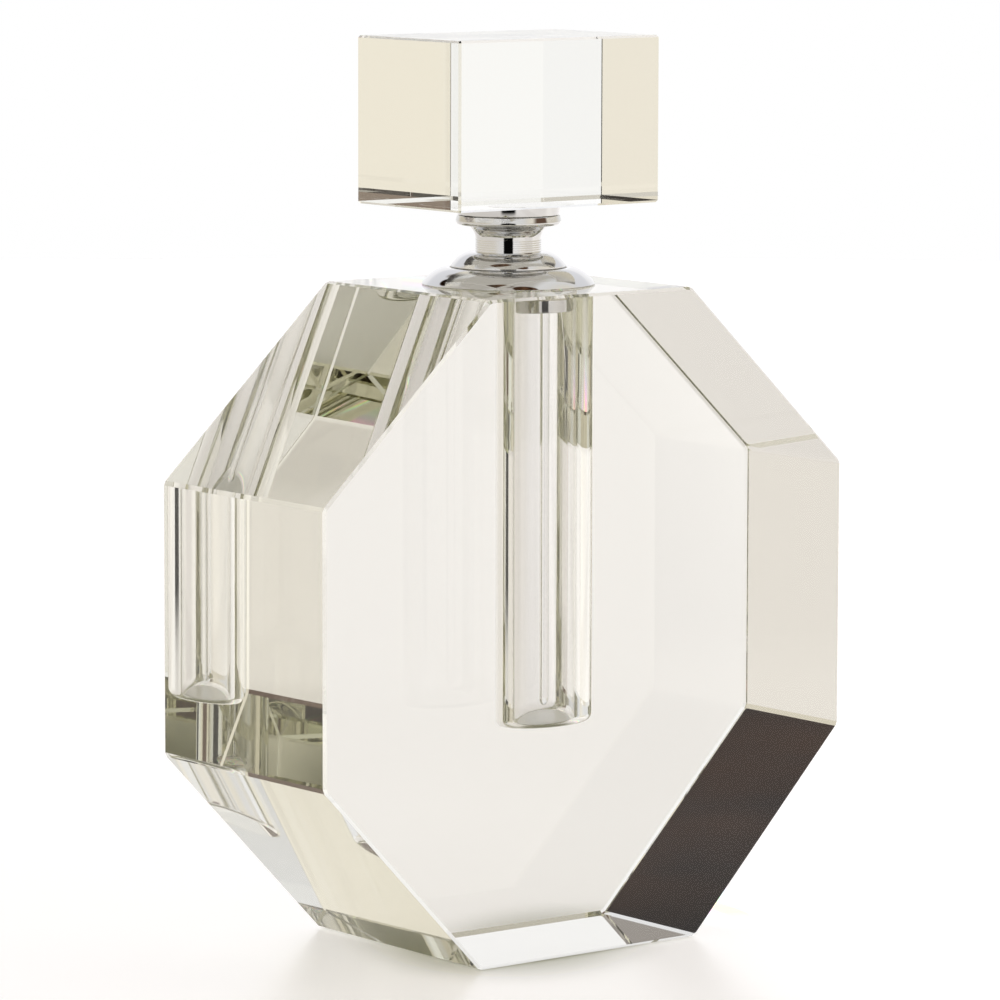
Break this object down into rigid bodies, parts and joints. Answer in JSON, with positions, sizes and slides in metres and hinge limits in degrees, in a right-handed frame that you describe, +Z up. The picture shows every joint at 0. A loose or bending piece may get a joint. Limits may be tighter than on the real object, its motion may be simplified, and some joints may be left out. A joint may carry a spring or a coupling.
{
  "type": "crystal dauber-stopper perfume bottle",
  "caption": "Octagonal solid crystal perfume bottle with a drilled well, a chromed neck collar and a lift-out stopper with a crystal block on top and a glass dauber rod below.",
  "frame": {"origin": "centre of the flat face that the bottle stands on", "axes": "+X across the bottle's width, +Y through its thickness away from the front octagon face, +Z up along the well and the stopper"},
  "size_m": [0.1194, 0.049, 0.1652],
  "materials": {
    "crystal": "clear solid optical crystal, all faces and edges polished",
    "chromed_brass": "turned and polished, bright chrome plate",
    "clear_adhesive": "clear cured adhesive",
    "soft_seal": "dark soft washer",
    "plug_plastic": "translucent natural polyethylene",
    "rod_glass": "clear glass rod with a fire-polished round tip"
  },
  "bodies": {
    "bottle": {"bottle_block": "crystal", "neck_collar": "chromed_brass", "collar_adhesive": "clear_adhesive"},
    "dauber": {"stopper_plug": "plug_plastic", "dauber_rod": "rod_glass", "seal_washer": "soft_seal"},
    "stopper": {"stopper_sleeve": "chromed_brass", "stopper_plate": "chromed_brass", "crystal_adhesive": "clear_adhesive", "stopper_crystal": "crystal"}
  },
  "joints": [
    {"name": "stopper_lift", "type": "slide", "parent": "bottle", "child": "dauber", "axis": [0, 0, 1], "range_m": [0, 0.09]},
    {"name": "stopper_turn", "type": "hinge", "parent": "dauber", "child": "stopper", "pos_m": [0, 0, 0.1235], "axis": [0, 0, 1], "continuous": true}
  ]
}
